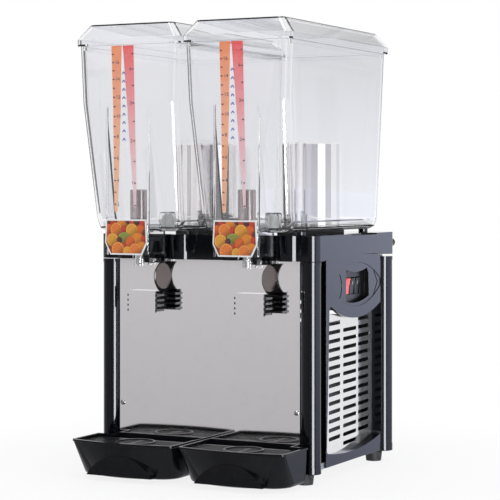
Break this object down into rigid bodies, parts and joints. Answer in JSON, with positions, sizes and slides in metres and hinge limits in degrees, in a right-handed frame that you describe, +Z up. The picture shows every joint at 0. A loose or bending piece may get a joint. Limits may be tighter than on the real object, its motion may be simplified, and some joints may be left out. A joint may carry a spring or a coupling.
{
  "type": "juice dispenser",
  "caption": "Countertop cold juice dispenser: clear lift-off bowls over chilled drums, push-back tap levers, pull-out drip trays and a vented cabinet.",
  "frame": {"origin": "on the floor under the centre of the whole machine's box", "axes": "+Z up, -Y towards the person who draws a drink, +X to that person's right"},
  "size_m": [0.401, 0.463, 0.739],
  "materials": {
    "gloss_black": "gloss",
    "satin_black": "satin",
    "tray_black": "gloss",
    "mirror_steel": "polished",
    "polished_steel": "polished",
    "plain_steel": "brushed",
    "clear_bowl": "clear polycarbonate",
    "seal_rubber": "matte",
    "white_plastic": "satin",
    "pump_plastic": "translucent",
    "label_print": "printed",
    "spring_steel": "drawn wire",
    "motor_metal": "satin",
    "compressor_paint": "satin",
    "condenser_fins": "bare",
    "signal_red": "lit red"
  },
  "bodies": {
    "cabinet": {"base_pan": "plain_steel", "feet": "seal_rubber", "column_front_left": "gloss_black", "column_front_right": "gloss_black", "column_rear_left": "gloss_black", "column_rear_right": "gloss_black", "front_panel": "mirror_steel", "rear_panel": "plain_steel", "panel_screws": "plain_steel", "deck": "gloss_black", "rear_bumpers": "satin_black", "lever_brackets": "satin_black", "lever_pins": "plain_steel", "side_frame_left": "gloss_black", "side_frame_right": "gloss_black", "side_grille_left": "mirror_steel", "side_grille_right": "mirror_steel", "evaporator_left": "polished_steel", "evaporator_right": "polished_steel", "mixer_motor_left": "motor_metal", "mixer_motor_right": "motor_metal", "switch_plate": "satin_black", "compressor": "compressor_paint", "condenser": "condenser_fins", "fan_motor": "motor_metal", "power_inlet": "satin_black"},
    "fan": {"fan_blades": "satin_black"},
    "power_rocker": {"rocker_power": "signal_red"},
    "mixer_left_rocker": {"rocker_mixer_left": "satin_black"},
    "mixer_right_rocker": {"rocker_mixer_right": "satin_black"},
    "bowl_left_set": {"bowl_left": "clear_bowl", "bowl_gasket_left": "seal_rubber", "nozzle_left": "white_plastic", "tap_sleeve_left": "polished_steel", "label_plate_left": "label_print", "pump_housing_left": "pump_plastic"},
    "lid_left_set": {"lid_left": "clear_bowl"},
    "piston_left_set": {"tap_piston_left": "white_plastic", "piston_spring_left": "spring_steel"},
    "lever_left_set": {"lever_left": "satin_black", "lever_facing_left": "mirror_steel"},
    "impeller_left_set": {"impeller_left": "white_plastic"},
    "magnet_left_set": {"drive_magnet_left": "motor_metal"},
    "tray_left_set": {"drip_tray_left": "tray_black"},
    "grid_left_set": {"drip_grid_left": "satin_black"},
    "bowl_right_set": {"bowl_right": "clear_bowl", "bowl_gasket_right": "seal_rubber", "nozzle_right": "white_plastic", "tap_sleeve_right": "polished_steel", "label_plate_right": "label_print", "pump_housing_right": "pump_plastic"},
    "lid_right_set": {"lid_right": "clear_bowl"},
    "piston_right_set": {"tap_piston_right": "white_plastic", "piston_spring_right": "spring_steel"},
    "lever_right_set": {"lever_right": "satin_black", "lever_facing_right": "mirror_steel"},
    "impeller_right_set": {"impeller_right": "white_plastic"},
    "magnet_right_set": {"drive_magnet_right": "motor_metal"},
    "tray_right_set": {"drip_tray_right": "tray_black"},
    "grid_right_set": {"drip_grid_right": "satin_black"}
  },
  "joints": [
    {"name": "bowl_left_lift", "type": "slide", "parent": "cabinet", "child": "bowl_left_set", "axis": [0, 0, 1], "range_m": [0, 0.2]},
    {"name": "lid_left_lift", "type": "slide", "parent": "bowl_left_set", "child": "lid_left_set", "axis": [0, 0, 1], "range_m": [0, 0.06]},
    {"name": "lever_left_push", "type": "hinge", "parent": "cabinet", "child": "lever_left_set", "pos_m": [-0.099, -0.1325, 0.352], "axis": [1, 0, 0], "range_deg": [0, 11], "stiffness_Nm_per_rad": 0.6, "springref_deg": -14.32},
    {"name": "piston_left_travel", "type": "slide", "parent": "bowl_left_set", "child": "piston_left_set", "axis": [0, 0, 1], "range_m": [-0.005, 0], "deforming": ["piston_spring_left"]},
    {"name": "magnet_left_spin", "type": "hinge", "parent": "cabinet", "child": "magnet_left_set", "pos_m": [-0.109, -0.0505, 0.385], "axis": [0, 0, 1], "continuous": true},
    {"name": "impeller_left_spin", "type": "hinge", "parent": "bowl_left_set", "child": "impeller_left_set", "pos_m": [-0.109, -0.0505, 0.412], "axis": [0, 0, 1], "continuous": true},
    {"name": "tray_left_pull", "type": "slide", "parent": "cabinet", "child": "tray_left_set", "axis": [0, -1, 0], "range_m": [0, 0.14]},
    {"name": "grid_left_lift", "type": "slide", "parent": "tray_left_set", "child": "grid_left_set", "axis": [0, 0, 1], "range_m": [0, 0.06]},
    {"name": "bowl_right_lift", "type": "slide", "parent": "cabinet", "child": "bowl_right_set", "axis": [0, 0, 1], "range_m": [0, 0.2]},
    {"name": "lid_right_lift", "type": "slide", "parent": "bowl_right_set", "child": "lid_right_set", "axis": [0, 0, 1], "range_m": [0, 0.06]},
    {"name": "lever_right_push", "type": "hinge", "parent": "cabinet", "child": "lever_right_set", "pos_m": [0.099, -0.1325, 0.352], "axis": [1, 0, 0], "range_deg": [0, 11], "stiffness_Nm_per_rad": 0.6, "springref_deg": -14.32},
    {"name": "piston_right_travel", "type": "slide", "parent": "bowl_right_set", "child": "piston_right_set", "axis": [0, 0, 1], "range_m": [-0.005, 0], "deforming": ["piston_spring_right"]},
    {"name": "magnet_right_spin", "type": "hinge", "parent": "cabinet", "child": "magnet_right_set", "pos_m": [0.089, -0.0505, 0.385], "axis": [0, 0, 1], "continuous": true},
    {"name": "impeller_right_spin", "type": "hinge", "parent": "bowl_right_set", "child": "impeller_right_set", "pos_m": [0.089, -0.0505, 0.412], "axis": [0, 0, 1], "continuous": true},
    {"name": "tray_right_pull", "type": "slide", "parent": "cabinet", "child": "tray_right_set", "axis": [0, -1, 0], "range_m": [0, 0.14]},
    {"name": "grid_right_lift", "type": "slide", "parent": "tray_right_set", "child": "grid_right_set", "axis": [0, 0, 1], "range_m": [0, 0.06]},
    {"name": "fan_spin", "type": "hinge", "parent": "cabinet", "child": "fan", "pos_m": [0.096, 0.0605, 0.154], "axis": [1, 0, 0], "continuous": true},
    {"name": "power_rock", "type": "hinge", "parent": "cabinet", "child": "power_rocker", "pos_m": [0.1746, 0.0505, 0.308], "axis": [0, 1, 0], "range_deg": [-16, 0]},
    {"name": "mixer_left_rock", "type": "hinge", "parent": "cabinet", "child": "mixer_left_rocker", "pos_m": [0.1746, 0.0705, 0.308], "axis": [0, 1, 0], "range_deg": [-16, 0]},
    {"name": "mixer_right_rock", "type": "hinge", "parent": "cabinet", "child": "mixer_right_rocker", "pos_m": [0.1746, 0.0905, 0.308], "axis": [0, 1, 0], "range_deg": [-16, 0]}
  ],
  "couplings": [
    {"joint": "piston_left_travel", "follows": "lever_left_push", "m_per_rad": -0.0256},
    {"joint": "impeller_left_spin", "follows": "magnet_left_spin", "ratio": 1},
    {"joint": "piston_right_travel", "follows": "lever_right_push", "m_per_rad": -0.0256},
    {"joint": "impeller_right_spin", "follows": "magnet_right_spin", "ratio": 1}
  ]
}
